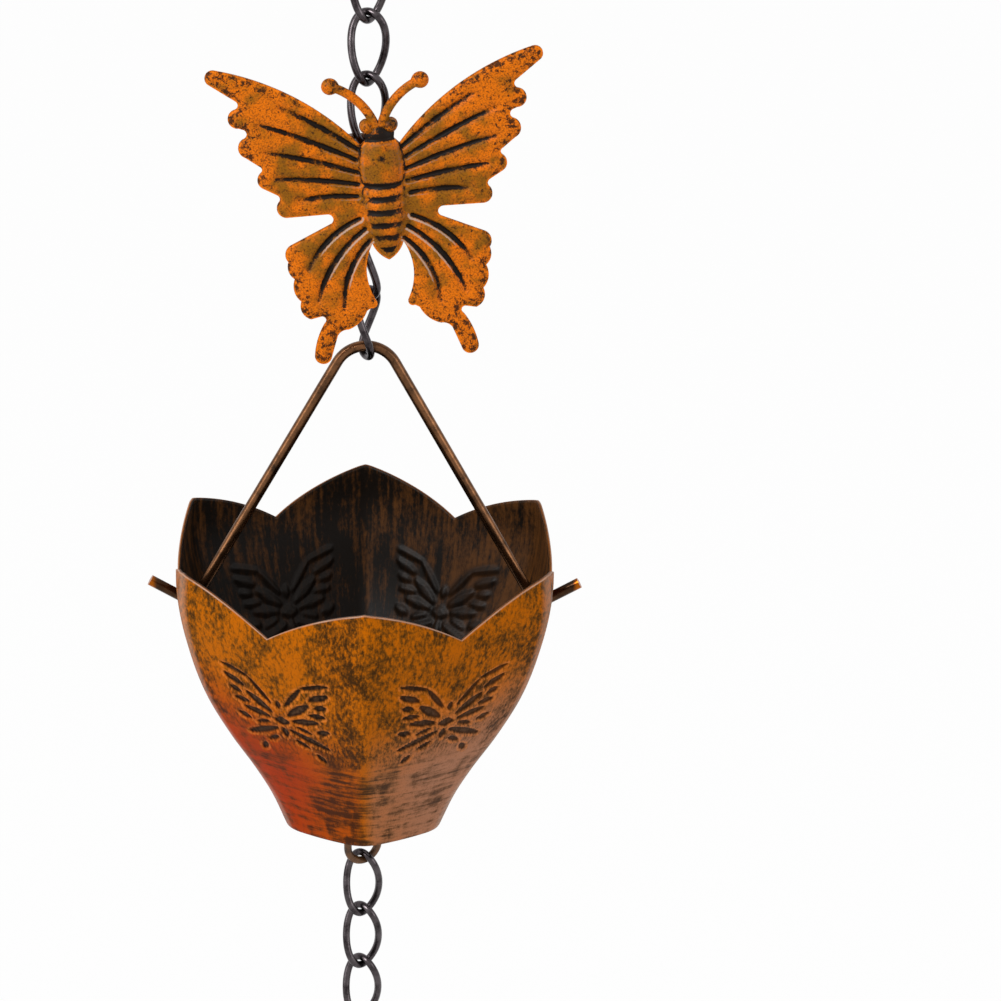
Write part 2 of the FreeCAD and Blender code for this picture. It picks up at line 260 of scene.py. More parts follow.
# Veins of the right wings: start, middle and end of each arc
GROOVES = [
    [(5.9, 3.6), (15.4, 10.4), (25.2, 16.4)],
    [(6.6, 0.8), (19.8, 7.4), (30.9, 12.1)],
    [(6.4, -2.6), (19.4, 1.7), (30.4, 4.5)],
    [(6.5, -5.9), (16.7, -4.1), (28.0, -2.9)],
    [(7.0, -9.2), (14.7, -8.7), (22.4, -9.1)],
    [(7.0, -15.4), (15.6, -20.6), (21.8, -28.5)],
    [(5.7, -18.3), (14.4, -26.6), (19.8, -37.4)],
    [(4.5, -21.5), (10.6, -29.5), (12.9, -39.6)],
]

# Height and half-width of the body at its swellings, and at the creases above and below each
BODY_CRESTS = [(8.4, 3.6), (0.0, 5.9), (-8.0, 5.6), (-11.6, 6.0), (-15.2, 5.8), (-18.9, 4.9),
               (-22.4, 3.5)]
BODY_CREASES = [(10.9, 1.2), (6.1, 3.4), (-6.1, 4.2), (-9.8, 4.9), (-13.4, 5.1), (-17.1, 4.6),
                (-20.7, 3.5), (-24.3, 1.9)]
BODY_TIP = -27.4
EYE_PLACE = (3.1, 9.7)
WING_DIVIDE = -12.0
ANTENNA = [(0.7, 9.4), (5.2, 17.0), (11.9, 21.3)]


def arc_points(start, through, end, spacing):
    """Points along the arc through three points, without the first one."""
    start, through, end = [complex(*p) for p in (start, through, end)]
    w = (end - start) / (through - start)
    centre = (through - start) * (w - abs(w) ** 2) / (2j * w.imag) + start
    radius = abs(start - centre)
    first = np.angle((through - centre) / (start - centre))
    second = np.angle((end - centre) / (through - centre))
    if first * second < 0:
        second += math.copysign(2 * math.pi, first)
    sweep = first + second
    count = max(2, int(abs(sweep) * radius / spacing))
    turns = np.exp(1j * sweep * np.arange(1, count + 1) / count)
    points = centre + (start - centre) * turns
    return [(p.real, p.imag) for p in points]


def line_points(start, end, spacing):
    """Points along a straight edge, without the first one."""
    count = max(1, int(math.dist(start, end) / spacing))
    share = np.arange(1, count + 1) / count
    return [(start[0] + (end[0] - start[0]) * s, start[1] + (end[1] - start[1]) * s) for s in share]


def butterfly_outline(spacing):
    """Closed outline of the whole plate, clockwise from the top of the head."""
    right = [HEAD_TOP]
    for step in HALF_OUTLINE:
        if len(step) == 1:
            right += line_points(right[-1], step[0], spacing)
        else:
            right += arc_points(right[-1], step[0], step[1], spacing)
    left = [(-u, v) for u, v in reversed(right[1:-1])]
    return np.array(right + left)


def distance_to_line(points, line):
    """Distance from each point to a line of points, share along it, and distance to its right."""
    best = np.full(len(points), FAR)
    place = np.zeros(len(points))
    right = np.zeros(len(points))
    for n in range(len(line) - 1):
        a, b = line[n], line[n + 1]
        span = b - a
        share = np.clip((points - a) @ span / (span @ span), 0, 1)
        offset = points - a - share[:, None] * span
        gap = np.linalg.norm(offset, axis=1)
        nearer = gap < best
        best = np.where(nearer, gap, best)
        place = np.where(nearer, (n + share) / (len(line) - 1), place)
        side = offset[:, 0] * span[1] - offset[:, 1] * span[0]
        right = np.where(nearer, np.copysign(gap, side), right)
    return best, place, right


def distance_to_outline(points, outline):
    """Distance from each point to a closed outline."""
    closed = np.vstack([outline, outline[:1]])
    return distance_to_line(points, closed)[0]


def inside_outline(points, outline):
    """Which points lie inside a closed outline."""
    inside = np.zeros(len(points), dtype=bool)
    x, y = points[:, 0], points[:, 1]
    for a, b in zip(outline, np.roll(outline, -1, axis=0)):
        crosses = (a[1] > y) != (b[1] > y)
        height = b[1] - a[1] if b[1] != a[1] else 1e-9
        at = a[0] + (y - a[1]) / height * (b[0] - a[0])
        inside ^= crosses & (x < at)
    return inside


def smooth_step(value, low, high):
    """0 below low and 1 above high, with a smooth rise between."""
    share = np.clip((value - low) / (high - low), 0, 1)
    return share * share * (3 - 2 * share)


def near(value, full, none):
    """1 below the first distance and 0 above the second, with a smooth fall between."""
    return 1 - smooth_step(value, full, none)


def body_half_width(v):
    """Half-width of the body where it meets the wings."""
    width = np.zeros_like(v)
    for (v0, w0), (vc, wc), (v1, w1) in zip(BODY_CREASES, BODY_CRESTS, BODY_CREASES[1:]):
        share = (v0 - v) / (v0 - v1)
        base = w0 + (w1 - w0) * share
        crest_share = (v0 - vc) / (v0 - v1)
        swell = wc - (w0 + (w1 - w0) * crest_share)
        fullness = thorax_fullness if vc == 0.0 else ring_fullness
        bump = np.sin(math.pi * np.clip(share, 0, 1)) ** fullness
        width = np.where((share >= 0) & (share <= 1), base + swell * bump, width)
    last_v, last_w = BODY_CREASES[-1]
    tail = (v < last_v) & (v > BODY_TIP)
    return np.where(tail, last_w * (v - BODY_TIP) / (last_v - BODY_TIP), width)


def wing_grooves(points):
    """Depth of the grooves, the raised bank below each with its painted highlight, and the distance to
    the nearest.
    """
    groove = np.zeros(len(points))
    highlit_bank = np.zeros(len(points))
    nearest = np.full(len(points), FAR)
    for start, middle, end in GROOVES:
        line = np.array([start] + arc_points(start, middle, end, 1.0))
        gap, place, right = distance_to_line(points, line)
        fade = 1 - 0.5 * smooth_step(place, 0.75, 1.0)
        half = groove_width / 2 * (0.8 + 0.5 * np.sin(math.pi * place))
        groove = np.maximum(groove, fade * near(gap, 0.2, half + 0.3))
        # Painted highlight on each groove's lower bank: along the whole groove on the lower wings, near
        # the body on the upper ones.
        highlight_reach = 0.95 if start[1] < WING_DIVIDE else 0.5
        painted_highlight = highlight_reach * near(place, 0.6 * highlight_reach, highlight_reach)
        lit = near(np.abs(right - groove_width * 0.7), 0.1, 0.55)
        highlit_bank = np.maximum(highlit_bank, painted_highlight * lit)
        nearest = np.minimum(nearest, gap)
    return groove, highlit_bank * (1 - groove), nearest


def head_shelter(u, v):
    """How sheltered the head is: at its neck, on its crown and round its eyes."""
    neck = smooth_step(v, 5.4, 6.3) * near(v, 7.4, 9.0)
    crown = 0.75 * smooth_step(v, 7.0, 8.0) * near(u, 0.6, 1.6) * near(v, 9.6, 10.6)
    from_eye = np.abs(np.hypot(u - EYE_PLACE[0], v - EYE_PLACE[1]) - eye_diameter / 2)
    socket = 0.7 * near(from_eye, 0.2, 0.9) * (v < 10.2)
    return np.max([np.where(u < 4.0, neck, 0), crown, socket], axis=0)


def butterfly_relief(points, outline):
    """Height of the front above the back, and the numbers that guide its paint."""
    u, v = np.abs(points[:, 0]), points[:, 1]
    margin = distance_to_outline(points, outline)
    groove, highlit_bank, nearest = wing_grooves(np.stack([u, v], axis=1))
    puff = wing_puff * smooth_step(np.minimum(nearest, margin), 0, puff_reach)
    rounding = edge_rounding * (1 - np.clip(margin / edge_width, 0, 1)) ** 2
    height = plate_thickness - wing_drop + puff - groove_depth * groove + bank_height * highlit_bank - rounding
    width = body_half_width(v)
    rise = np.sqrt(np.maximum(width ** 2 + body_set_back ** 2 - u ** 2, 0)) - body_set_back
    on_body = (u < width) & (rise > 0)
    dimple = near(np.hypot(u, v - 1.3), 0.3, 1.7)
    body_height = plate_thickness + rise - dimple_depth * dimple
    height = np.where(on_body, np.maximum(height, body_height), height)
    across = u / np.maximum(width, 0.1)
    crease = np.min([np.abs(v - place) for place, _ in BODY_CREASES[2:]], axis=0)
    ring = near(crease, 0.45, 1.25) * near(across, 0.68, 0.95)
    waist = near(np.abs(v - BODY_CREASES[2][0]), 0.3, 1.0)
    hollows_and_shadow = np.where(on_body, np.max([ring, 0.75 * dimple, waist], axis=0), groove)
    below_neck = v < 5.5
    # Painted shadow along the sides of the thorax and upper abdomen, where the body meets the wings.
    body_side_shadow = 0.6 * near(np.abs(u - width), 0.1, 0.6) * below_neck * smooth_step(v, -13.0, -7.0)
    hollows_and_shadow = np.max([hollows_and_shadow, body_side_shadow, head_shelter(u, v)], axis=0)
    # Painted highlights on the body's flanks and along the top of the thorax.
    flank = smooth_step(across, 0.58, 0.8) * near(across, 0.9, 1.0) * below_neck
    brow = near(np.abs(v - 5.0), 0.2, 0.8) * near(across, 0.6, 0.9)
    highlit_bank = np.where(on_body, 0.4 * np.maximum(flank * smooth_step(crease, 0.4, 1.3), brow), highlit_bank)
    outer = smooth_step(np.hypot(u, v + 8), 20, 40)
    return height, {"hollows_and_shadow": hollows_and_shadow, "highlit_bank": highlit_bank, "margin": margin, "outer": outer}


def antenna_tube(side, sides=14):
    """Points and faces of one feeler, swelling into its ball."""
    line = [ANTENNA[0]] + arc_points(ANTENNA[0], ANTENNA[1], ANTENNA[2], 0.5)
    line = np.array([(side * u, v) for u, v in line])
    along = unit(np.gradient(line, axis=0))
    end = line[-1]
    steps = antenna_ball / 2 * np.sin(np.linspace(0.15, 0.97, 8) * math.pi / 2)
    beyond = end + along[-1] * steps[:, None]
    line = np.vstack([line, beyond])
    along = np.vstack([along, np.repeat(along[-1:], len(beyond), axis=0)])
    from_ball = np.linalg.norm(line - end, axis=1)
    ball = np.sqrt(np.maximum((antenna_ball / 2) ** 2 - from_ball ** 2, 0))
    stem = np.where(np.arange(len(line)) < len(line) - len(beyond), antenna_wire / 2, 0)
    radius = np.maximum(stem, ball)
    points = []
    for (u, v), (du, dv), r in zip(line, along, radius):
        for turn in full_turn(sides):
            reach = r * math.cos(turn)
            depth = -antenna_wire / 2 + r * math.sin(turn) * feeler_flatness
            points.append((u - dv * reach, min(depth, 0.0), v + du * reach))
    return np.array(points), tube_faces(len(line), sides)


def eye_dome(side, rings=10, sides=20):
    """Points and faces of one bead eye on the head, ending inside the plate."""
    u, v = side * EYE_PLACE[0], EYE_PLACE[1]
    radius = eye_diameter / 2
    buried = math.acos(-0.6 * plate_thickness / radius)
    points = []
    for ring in range(1, rings):
        tilt = buried * ring / (rings - 1)
        for turn in full_turn(sides):
            points.append((u + radius * math.sin(tilt) * math.cos(turn),
                           -plate_thickness - radius * math.cos(tilt),
                           v + radius * math.sin(tilt) * math.sin(turn)))
    return np.array(points), tube_faces(rings - 1, sides)


def relief_points(outline):
    """The outline's points, and after them an even grid of points inside it."""
    low, high = outline.min(axis=0), outline.max(axis=0)
    rows = np.arange(low[1], high[1], relief_spacing * 0.866)
    columns = np.arange(low[0], high[0], relief_spacing)
    grid = [(c + (n % 2) * relief_spacing / 2, r) for n, r in enumerate(rows) for c in columns]
    grid = np.array(grid)
    grid = grid[inside_outline(grid, outline)]
    grid = grid[distance_to_outline(grid, outline) > relief_spacing * 0.6]
    return np.vstack([outline, grid])


def triangles(points, border):
    """Triangles that fill a closed border and join all the points in it."""
    return geometry.delaunay_2d_cdt([tuple(p) for p in points], border, [], 1, 1e-6)[2]


def butterfly():
    """Pressed butterfly plate with its veins, ringed body, eyes and feelers."""
    outline = butterfly_outline(relief_spacing)
    count = len(outline)
    flat = relief_points(outline)
    border = [(n, (n + 1) % count) for n in range(count)]
    height, numbers = butterfly_relief(flat, outline)
    points = [np.stack([flat[:, 0], -height, flat[:, 1]], axis=1)]
    points.append(np.stack([outline[:, 0], np.zeros(count), outline[:, 1]], axis=1))
    start = len(flat)
    faces = [tuple(f) for f in triangles(flat, border)]
    faces += [tuple(start + i for i in reversed(f)) for f in triangles(outline, border)]
    faces += [(b, a, start + a, start + b) for a, b in border]
    total = start + count
    shade = [np.zeros(count)]
    for side in (1, -1):
        for form, darkness in ((antenna_tube(side), 0.0), (eye_dome(side), eye_darkness)):
            points.append(form[0])
            shade.append(np.full(len(form[0]), darkness))
            faces += [tuple(total + i for i in f) for f in form[1]]
            total += len(form[0])
    placed = turned(np.vstack(points), butterfly_lean, 0, 2) + np.array(butterfly_place)
    shade = np.concatenate(shade)
    plain = {"hollows_and_shadow": shade, "highlit_bank": 0 * shade, "margin": 0 * shade + 1.5, "outer": 0 * shade + 0.4}
    numbers = {key: np.append(values, plain[key]) for key, values in numbers.items()}
    piece = make_piece("butterfly_relief", placed, faces, numbers)
    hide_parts("butterfly")
    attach(piece, "ornament")
    return piece


# Cup

# Corner radius of the cup down its height, from 1 at the rim to 0 at the foot
CUP_PROFILE = [(0.0, 1.0), (0.12, 1.01), (0.285, 0.921), (0.45, 0.77), (0.615, 0.54), (0.76, 0.31),
               (0.89, 0.125), (1.0, 0.0)]

# Stamped cells of the small butterfly on a panel: inner tip, outer tip and width, right half,
# measured from the middle of its body with the second number upwards.
STAMP_CELLS = [
    [(2.3, 4.6), (8.0, 12.0), 1.2],
    [(8.6, 12.5), (16.6, 15.0), 1.2],
    [(10.6, 8.7), (16.0, 11.4), 1.7],
    [(11.8, 6.0), (14.9, 7.0), 1.5],
    [(9.6, 3.0), (13.9, 3.3), 1.5],
    [(2.9, 1.2), (9.3, 6.4), 1.9],
    [(3.9, -0.9), (11.3, 0.6), 1.7],
    [(10.8, -3.5), (14.0, -2.5), 1.6],
    [(4.5, -2.9), (8.5, -4.4), 1.2],
    [(2.2, -4.9), (12.4, -9.6), 1.7],
    [(3.0, -8.6), (6.2, -10.6), 1.3],
    [(8.2, -13.0), (9.8, -15.4), 1.5],
]
STAMP_BODY = [
    [(0.0, 3.4), (0.0, 5.6), 1.4],
    [(-1.6, -1.6), (1.6, -1.6), 2.4],
    [(0.0, -4.6), (0.0, -7.6), 1.5],
]


def cup_radius(down):
    """Corner radius of the cup at a height below its peaks, a smooth curve through its profile."""
    at = np.array([d for d, _ in CUP_PROFILE]) * cup_height
    blend = np.array([share for _, share in CUP_PROFILE])
    radius = cup_foot_radius + blend * (cup_corner_radius - cup_foot_radius)
    slope = np.gradient(radius, at)
    n = np.clip(np.searchsorted(at, down) - 1, 0, len(at) - 2)
    span = at[n + 1] - at[n]
    t = np.clip((down - at[n]) / span, 0, 1)
    a = 2 * t ** 3 - 3 * t ** 2 + 1
    b = t ** 3 - 2 * t ** 2 + t
    c = -2 * t ** 3 + 3 * t ** 2
    d = t ** 3 - t ** 2
    return a * radius[n] + b * span * slope[n] + c * radius[n + 1] + d * span * slope[n + 1]


def petal_top(lateral):
    """How far below the peaks the rim is, at a distance from a panel's middle."""
    corner = cup_corner_radius / 2
    valley = (0.0, -petal_valley)
    halfway = (corner / 2, petal_bulge - petal_valley / 2)
    line = np.array([valley] + arc_points(valley, halfway, (corner, 0.0), 0.2))
    return -np.interp(np.abs(lateral), line[:, 0], line[:, 1])


def panel_point(share, down, inset):
    """Distance from the panel's middle and from the cup's axis, on a bulged side."""
    radius = cup_radius(down) - inset / math.cos(math.pi / 6)
    bulge = cup_panel_bulge / cup_corner_radius
    arc = radius * (0.25 + bulge ** 2) / (2 * bulge)
    half = np.arcsin(radius / 2 / arc)
    lateral = arc * np.sin(share * half)
    away = radius * (math.cos(math.pi / 6) + bulge) - arc + arc * np.cos(share * half)
    return lateral, away


def stamp_mask(lateral, up):
    """1 in the stamped cells and 0 on the plain sheet, a soft halo round them, and 1 on their floors."""
    nearest = np.full_like(lateral, FAR)
    for (ax, ay), (bx, by), width in STAMP_CELLS + STAMP_BODY:
        px, py = np.abs(lateral) - ax, up - ay
        dx, dy = bx - ax, by - ay
        share = np.clip((px * dx + py * dy) / (dx ** 2 + dy ** 2), 0, 1)
        gap = np.hypot(px - share * dx, py - share * dy)
        half = width * 0.74 * np.sin(math.pi * (0.14 + 0.72 * share)) ** 0.8
        nearest = np.minimum(nearest, gap - half)
    mask = near(nearest, -stamp_edge / 2, stamp_edge / 2)
    halo = near(nearest, 0.0, 2.0)
    floor = smooth_step(-nearest, 0.45, 1.05)
    return mask, halo, floor


def graded(places, spacings):
    """Numbers from the first place to the last, at a wanted spacing in each stretch."""
    numbers = [places[0]]
    for a, b, spacing in zip(places, places[1:], spacings):
        count = max(1, round((b - a) / spacing))
        numbers += [a + (b - a) * n / count for n in range(1, count + 1)]
    return np.array(numbers)


def cup_sheet_points():
    """Outer and inner surface of the whole cup as grids, with the paint's numbers."""
    half_width = cup_corner_radius / 2
    strip_end = half_width - corner_strip
    column_places = [-half_width, -strip_end, -stamp_reach, stamp_reach, strip_end, half_width]
    shares = graded(column_places, column_spacings)[:-1] / half_width
    fractions = graded(row_places, row_spacings)
    outer, inner = [], []
    numbers = {"around": [], "down": [], "hollows_and_shadow": [], "halo": [], "floor": [], "ridge": []}
    for panel in range(6):
        middle = math.radians(60 * panel + 60)
        share, fraction = np.meshgrid(shares, fractions, indexing="ij")
        top = petal_top(share * half_width * petal_stretch)
        down = top + fraction * (cup_height - top)
        lateral, away = panel_point(share, down, 0.0)
        inside_lateral, inside_away = panel_point(share, down, cup_sheet)
        for grid, side, out in ((outer, lateral, away), (inner, inside_lateral, inside_away)):
            x = out * math.cos(middle) - side * math.sin(middle)
            y = out * math.sin(middle) + side * math.cos(middle)
            grid.append(np.stack([x, y, rim_z - down], axis=-1))
        up = (stamp_down - down) * stamp_stretch
        mask, halo, floor = stamp_mask(lateral, up)
        around = panel * cup_corner_radius + share * half_width
        ridge = half_width * (1 - np.abs(share))
        for values, grid in zip(numbers.values(), (around, down, mask, halo, floor, ridge)):
            values.append(grid)
    numbers = {key: np.concatenate(grids) for key, grids in numbers.items()}
    return np.concatenate(outer), np.concatenate(inner), numbers


def soften_corners(grid, ridge, down):
    """Rounds the six bent corners of the sheet, and more so towards its foot."""
    near_foot = smooth_step(down, cup_height * 0.55, cup_height)
    stages = ((corner_softness, corner_rounds, 1.0), (foot_softness, foot_rounds, near_foot))
    for reach, rounds, share in stages:
        weight = 0.5 * share * near(ridge, reach * 0.5, reach)
        for _ in range(rounds):
            middle = (np.roll(grid, 1, axis=0) + np.roll(grid, -1, axis=0)) / 2
            moved = grid + (middle - grid) * weight[..., None]
            moved[..., 2] = grid[..., 2]
            grid = moved
    return grid


def sheet_faces(columns, rows):
    """Quads of the outer and inner surface, and of the strips that join them at rim and foot."""
    inner_first = columns * rows
    faces = []
    for c in range(columns):
        here, after = c * rows, (c + 1) % columns * rows
        for r in range(rows - 1):
            a, b, d, e = here + r, here + r + 1, after + r + 1, after + r
            faces.append((a, b, d, e))
            faces.append((inner_first + a, inner_first + e, inner_first + d, inner_first + b))
        faces.append((here, after, inner_first + after, inner_first + here))
        low, next_low = here + rows - 1, after + rows - 1
        faces.append((low, inner_first + low, inner_first + next_low, next_low))
    return faces


def cup():
    """Six-sided sheet cup with petal points, stamped panels, and two holes for the bail."""
    outer, inner, numbers = cup_sheet_points()
    mask = numbers["hollows_and_shadow"]
    outer = soften_corners(outer, numbers["ridge"], numbers["down"])
    inner = soften_corners(inner, numbers["ridge"], numbers["down"])
    across = np.roll(outer, -1, axis=0) - np.roll(outer, 1, axis=0)
    downwards = np.gradient(outer, axis=1)
    pressed = unit(np.cross(downwards, across)) * (stamp_depth * mask)[..., None]
    points = np.concatenate([(outer - pressed).reshape(-1, 3), (inner - pressed).reshape(-1, 3)])
    inside = np.stack([np.zeros(mask.shape), np.ones(mask.shape)])
    # Top row of the outer sheet, where the rim gets its pale worn edge and painted highlight.
    lip = np.zeros((2, *mask.shape))
    lip[0, :, 0] = 1.0
    numbers = {key: np.tile(grid.ravel(), 2) for key, grid in numbers.items()}
    numbers.update({"inside": inside.ravel(), "lip": lip.ravel()})
    piece = make_piece("cup_sheet", points, sheet_faces(*mask.shape), numbers)
    drill_bail_holes(piece)
    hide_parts("cup")
    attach(piece, "cup_body")
    return piece


def drill_bail_holes(piece):
    """Cuts the two round holes in the side panels."""
    radius = bail_hole / 2
    reach = cup_corner_radius * 1.2
    points = []
    for x in (-reach, reach):
        for angle in full_turn(drill_sides):
            points.append((x, radius * math.cos(angle), hole_z + radius * math.sin(angle)))
    drill = make_piece("drill", points, tube_faces(2, drill_sides))
    cut = piece.modifiers.new("holes", "BOOLEAN")
    cut.operation = "DIFFERENCE"
    cut.solver = "EXACT"
    cut.object = drill
    graph = bpy.context.evaluated_depsgraph_get()
    drilled = bpy.data.meshes.new_from_object(piece.evaluated_get(graph))
    piece.modifiers.clear()
    piece.data = drilled
    bpy.data.objects.remove(drill)


# Materials

def new_material(name):
    """A node material and its main shader."""
    material = bpy.data.materials.new(name)
    material.use_nodes = True
    return material, material.node_tree, material.node_tree.nodes["Principled BSDF"]


def feed(tree, socket, value):
    """Sets a socket to a number or links another socket to it."""
    if isinstance(value, bpy.types.NodeSocket):
        tree.links.new(value, socket)
    else:
        socket.default_value = value


def number(tree, operation, first, second=0.0):
    """Arithmetic on two values."""
    node = tree.nodes.new("ShaderNodeMath")
    node.operation = operation
    feed(tree, node.inputs[0], first)
    feed(tree, node.inputs[1], second)
    return node.outputs[0]


def times(tree, first, second):
    """Product of two values."""
    return number(tree, "MULTIPLY", first, second)


def weighted(tree, *pairs):
    """Sum of values, each times its weight."""
    total = 0.0
    for value, weight in pairs:
        total = number(tree, "ADD", total, times(tree, value, weight))
    return total


def levels(tree, value, low, high):
    """0 at low and 1 at high, held at those beyond them."""
    node = tree.nodes.new("ShaderNodeMapRange")
    node.interpolation_type = "SMOOTHSTEP"
    feed(tree, node.inputs["Value"], value)
    node.inputs["From Min"].default_value = low
    node.inputs["From Max"].default_value = high
    return node.outputs["Result"]


def mixed(tree, factor, first, second):
    """A blend of two colours."""
    node = tree.nodes.new("ShaderNodeMix")
    node.data_type = "RGBA"
    feed(tree, node.inputs[0], factor)
    for socket, colour in ((node.inputs[6], first), (node.inputs[7], second)):
        feed(tree, socket, colour if isinstance(colour, bpy.types.NodeSocket) else (*colour, 1.0))
    return node.outputs[2]


def laid_on(tree, base, colour, cover, strength):
    """A colour laid on another as far as its cover goes, at a given strength."""
    return mixed(tree, times(tree, cover, strength), base, colour)


def stored(tree, name):
    """A per-point number kept on the mesh."""
    node = tree.nodes.new("ShaderNodeAttribute")
    node.attribute_name = name
    return node.outputs["Fac"]


def place_in_mm(tree):
    """Place on the piece, in millimetres."""
    where = tree.nodes.new("ShaderNodeTexCoord")
    node = tree.nodes.new("ShaderNodeVectorMath")
    node.operation = "SCALE"
    tree.links.new(where.outputs["Object"], node.inputs[0])
    node.inputs["Scale"].default_value = 1 / MM
    return node.outputs["Vector"]


def sideways_in_mm(tree):
    """How far right of the part's middle a place is, in millimetres."""
    node = tree.nodes.new("ShaderNodeSeparateXYZ")
    tree.links.new(place_in_mm(tree), node.inputs[0])
    return node.outputs["X"]


def stretched(tree, vector, amounts):
    """A place multiplied along each axis."""
    node = tree.nodes.new("ShaderNodeVectorMath")
    node.operation = "MULTIPLY"
    tree.links.new(vector, node.inputs[0])
    node.inputs[1].default_value = amounts
    return node.outputs["Vector"]


def noise(tree, vector, scale, detail=4.0, roughness=0.55):
    """Cloudy noise from 0 to 1."""
    node = tree.nodes.new("ShaderNodeTexNoise")
    tree.links.new(vector, node.inputs["Vector"])
    node.inputs["Scale"].default_value = scale
    node.inputs["Detail"].default_value = detail
    node.inputs["Roughness"].default_value = roughness
    return node.outputs["Fac"]


def add_bump(tree, shader, height, strength, distance):
    """Fine roughness of the surface."""
    node = tree.nodes.new("ShaderNodeBump")
    node.inputs["Strength"].default_value = strength
    node.inputs["Distance"].default_value = distance * MM
    tree.links.new(height, node.inputs["Height"])
    tree.links.new(node.outputs["Normal"], shader.inputs["Normal"])


def srgb(red, green, blue):
    """A colour as seen on a screen, 0 to 255, in the renderer's linear numbers."""
    shares = [channel / 255 for channel in (red, green, blue)]
    return tuple(s / 12.92 if s <= 0.04045 else ((s + 0.055) / 1.055) ** 2.4 for s in shares)


ORANGE = srgb(214, 108, 6)
BRIGHT_ORANGE = srgb(232, 120, 10)
# Red for painted reflected light low on the cup's left.
REFLECTED_RED = srgb(156, 38, 0)
CUP_ORANGE = srgb(180, 94, 2)
CUP_OLIVE = srgb(108, 68, 8)
OLIVE_BROWN = srgb(136, 84, 10)
# Pinkish brown for a painted sheen low on the cup's right.
PINK_SHEEN = srgb(164, 116, 90)
BROWN = srgb(84, 48, 12)
CELL_FLOOR = srgb(84, 60, 42)
RIDGE_ORANGE = srgb(212, 122, 54)
BLACK_BROWN = srgb(22, 14, 9)
# Pale for worn outer corners of the cup, and for painted highlights on the butterfly.
PALE_WEAR_AND_HIGHLIGHT = srgb(186, 156, 138)
# Pale for the rim's worn edge and its painted highlight.
LIP_PALE = srgb(188, 150, 128)
CUP_INSIDE = srgb(15, 9, 5)
CUP_INSIDE_BRUSHED = srgb(82, 49, 20)


def butterfly_paint():
    """Orange dry-brushed over black: dark in the grooves, flecked with dark towards the wing ends;
    painted shadow beside the body, painted highlights on groove banks and body.
    """
    material, tree, shader = new_material("butterfly_rust")
    place = place_in_mm(tree)
    hollows_and_shadow, highlit_bank = stored(tree, "hollows_and_shadow"), stored(tree, "highlit_bank")
    margin, outer = stored(tree, "margin"), stored(tree, "outer")
    clouds = noise(tree, place, 0.2, 5)
    flecks = noise(tree, place, 0.6, 6, 0.68)
    grain = noise(tree, place, 2.0, 4, 0.7)
    browner = weighted(tree, (clouds, 1.0), (outer, -0.16), (1.0, 0.03))
    base = mixed(tree, levels(tree, browner, 0.36, 0.64), ORANGE, OLIVE_BROWN)
    base = laid_on(tree, base, BROWN, levels(tree, grain, 0.46, 0.62), 0.65)
    near_edge = times(tree, levels(tree, margin, 3.8, 0.9), outer)
    dark = weighted(tree, (flecks, 0.8), (grain, 0.3), (near_edge, 0.085), (outer, 0.015))
    painted = laid_on(tree, base, BLACK_BROWN, levels(tree, dark, 0.60, 0.70), 0.9)
    rim = times(tree, levels(tree, margin, 0.75, 0.25), levels(tree, flecks, 0.62, 0.42))
    painted = laid_on(tree, painted, BRIGHT_ORANGE, rim, 0.85)
    patches = levels(tree, noise(tree, place, 0.17, 3), 0.40, 0.58)
    held = times(tree, hollows_and_shadow, weighted(tree, (patches, 0.5), (1.0, 0.6)))
    filled = weighted(tree, (held, 1.0), (flecks, 1.2), (grain, 1.0), (1.0, -0.3))
    painted = laid_on(tree, painted, BROWN, levels(tree, filled, 0.95, 1.2), 0.6)
    # Painted highlight on the grooves' lower banks and on the body, broken up by the grain.
    painted_highlight = weighted(tree, (highlit_bank, 1.0), (grain, 0.6))
    painted = laid_on(tree, painted, PALE_WEAR_AND_HIGHLIGHT, levels(tree, painted_highlight, 0.62, 1.1), 0.85)
    colour = mixed(tree, levels(tree, filled, 1.06, 1.42), painted, BLACK_BROWN)
    tree.links.new(colour, shader.inputs["Base Color"])
    tree.links.new(weighted(tree, (flecks, 0.4), (1.0, 0.25)), shader.inputs["Roughness"])
    shader.inputs["Specular IOR Level"].default_value = 0.1
    add_bump(tree, shader, weighted(tree, (flecks, 0.6), (grain, 0.4)), 0.5, 0.2)
    return material


def sheet_place(tree):
    """Place on the cup's sheet: round it, down it, and inside or out."""
    node = tree.nodes.new("ShaderNodeCombineXYZ")
    for axis, name in zip("XYZ", ("around", "down", "inside")):
        tree.links.new(stored(tree, name), node.inputs[axis])
    return node.outputs["Vector"]


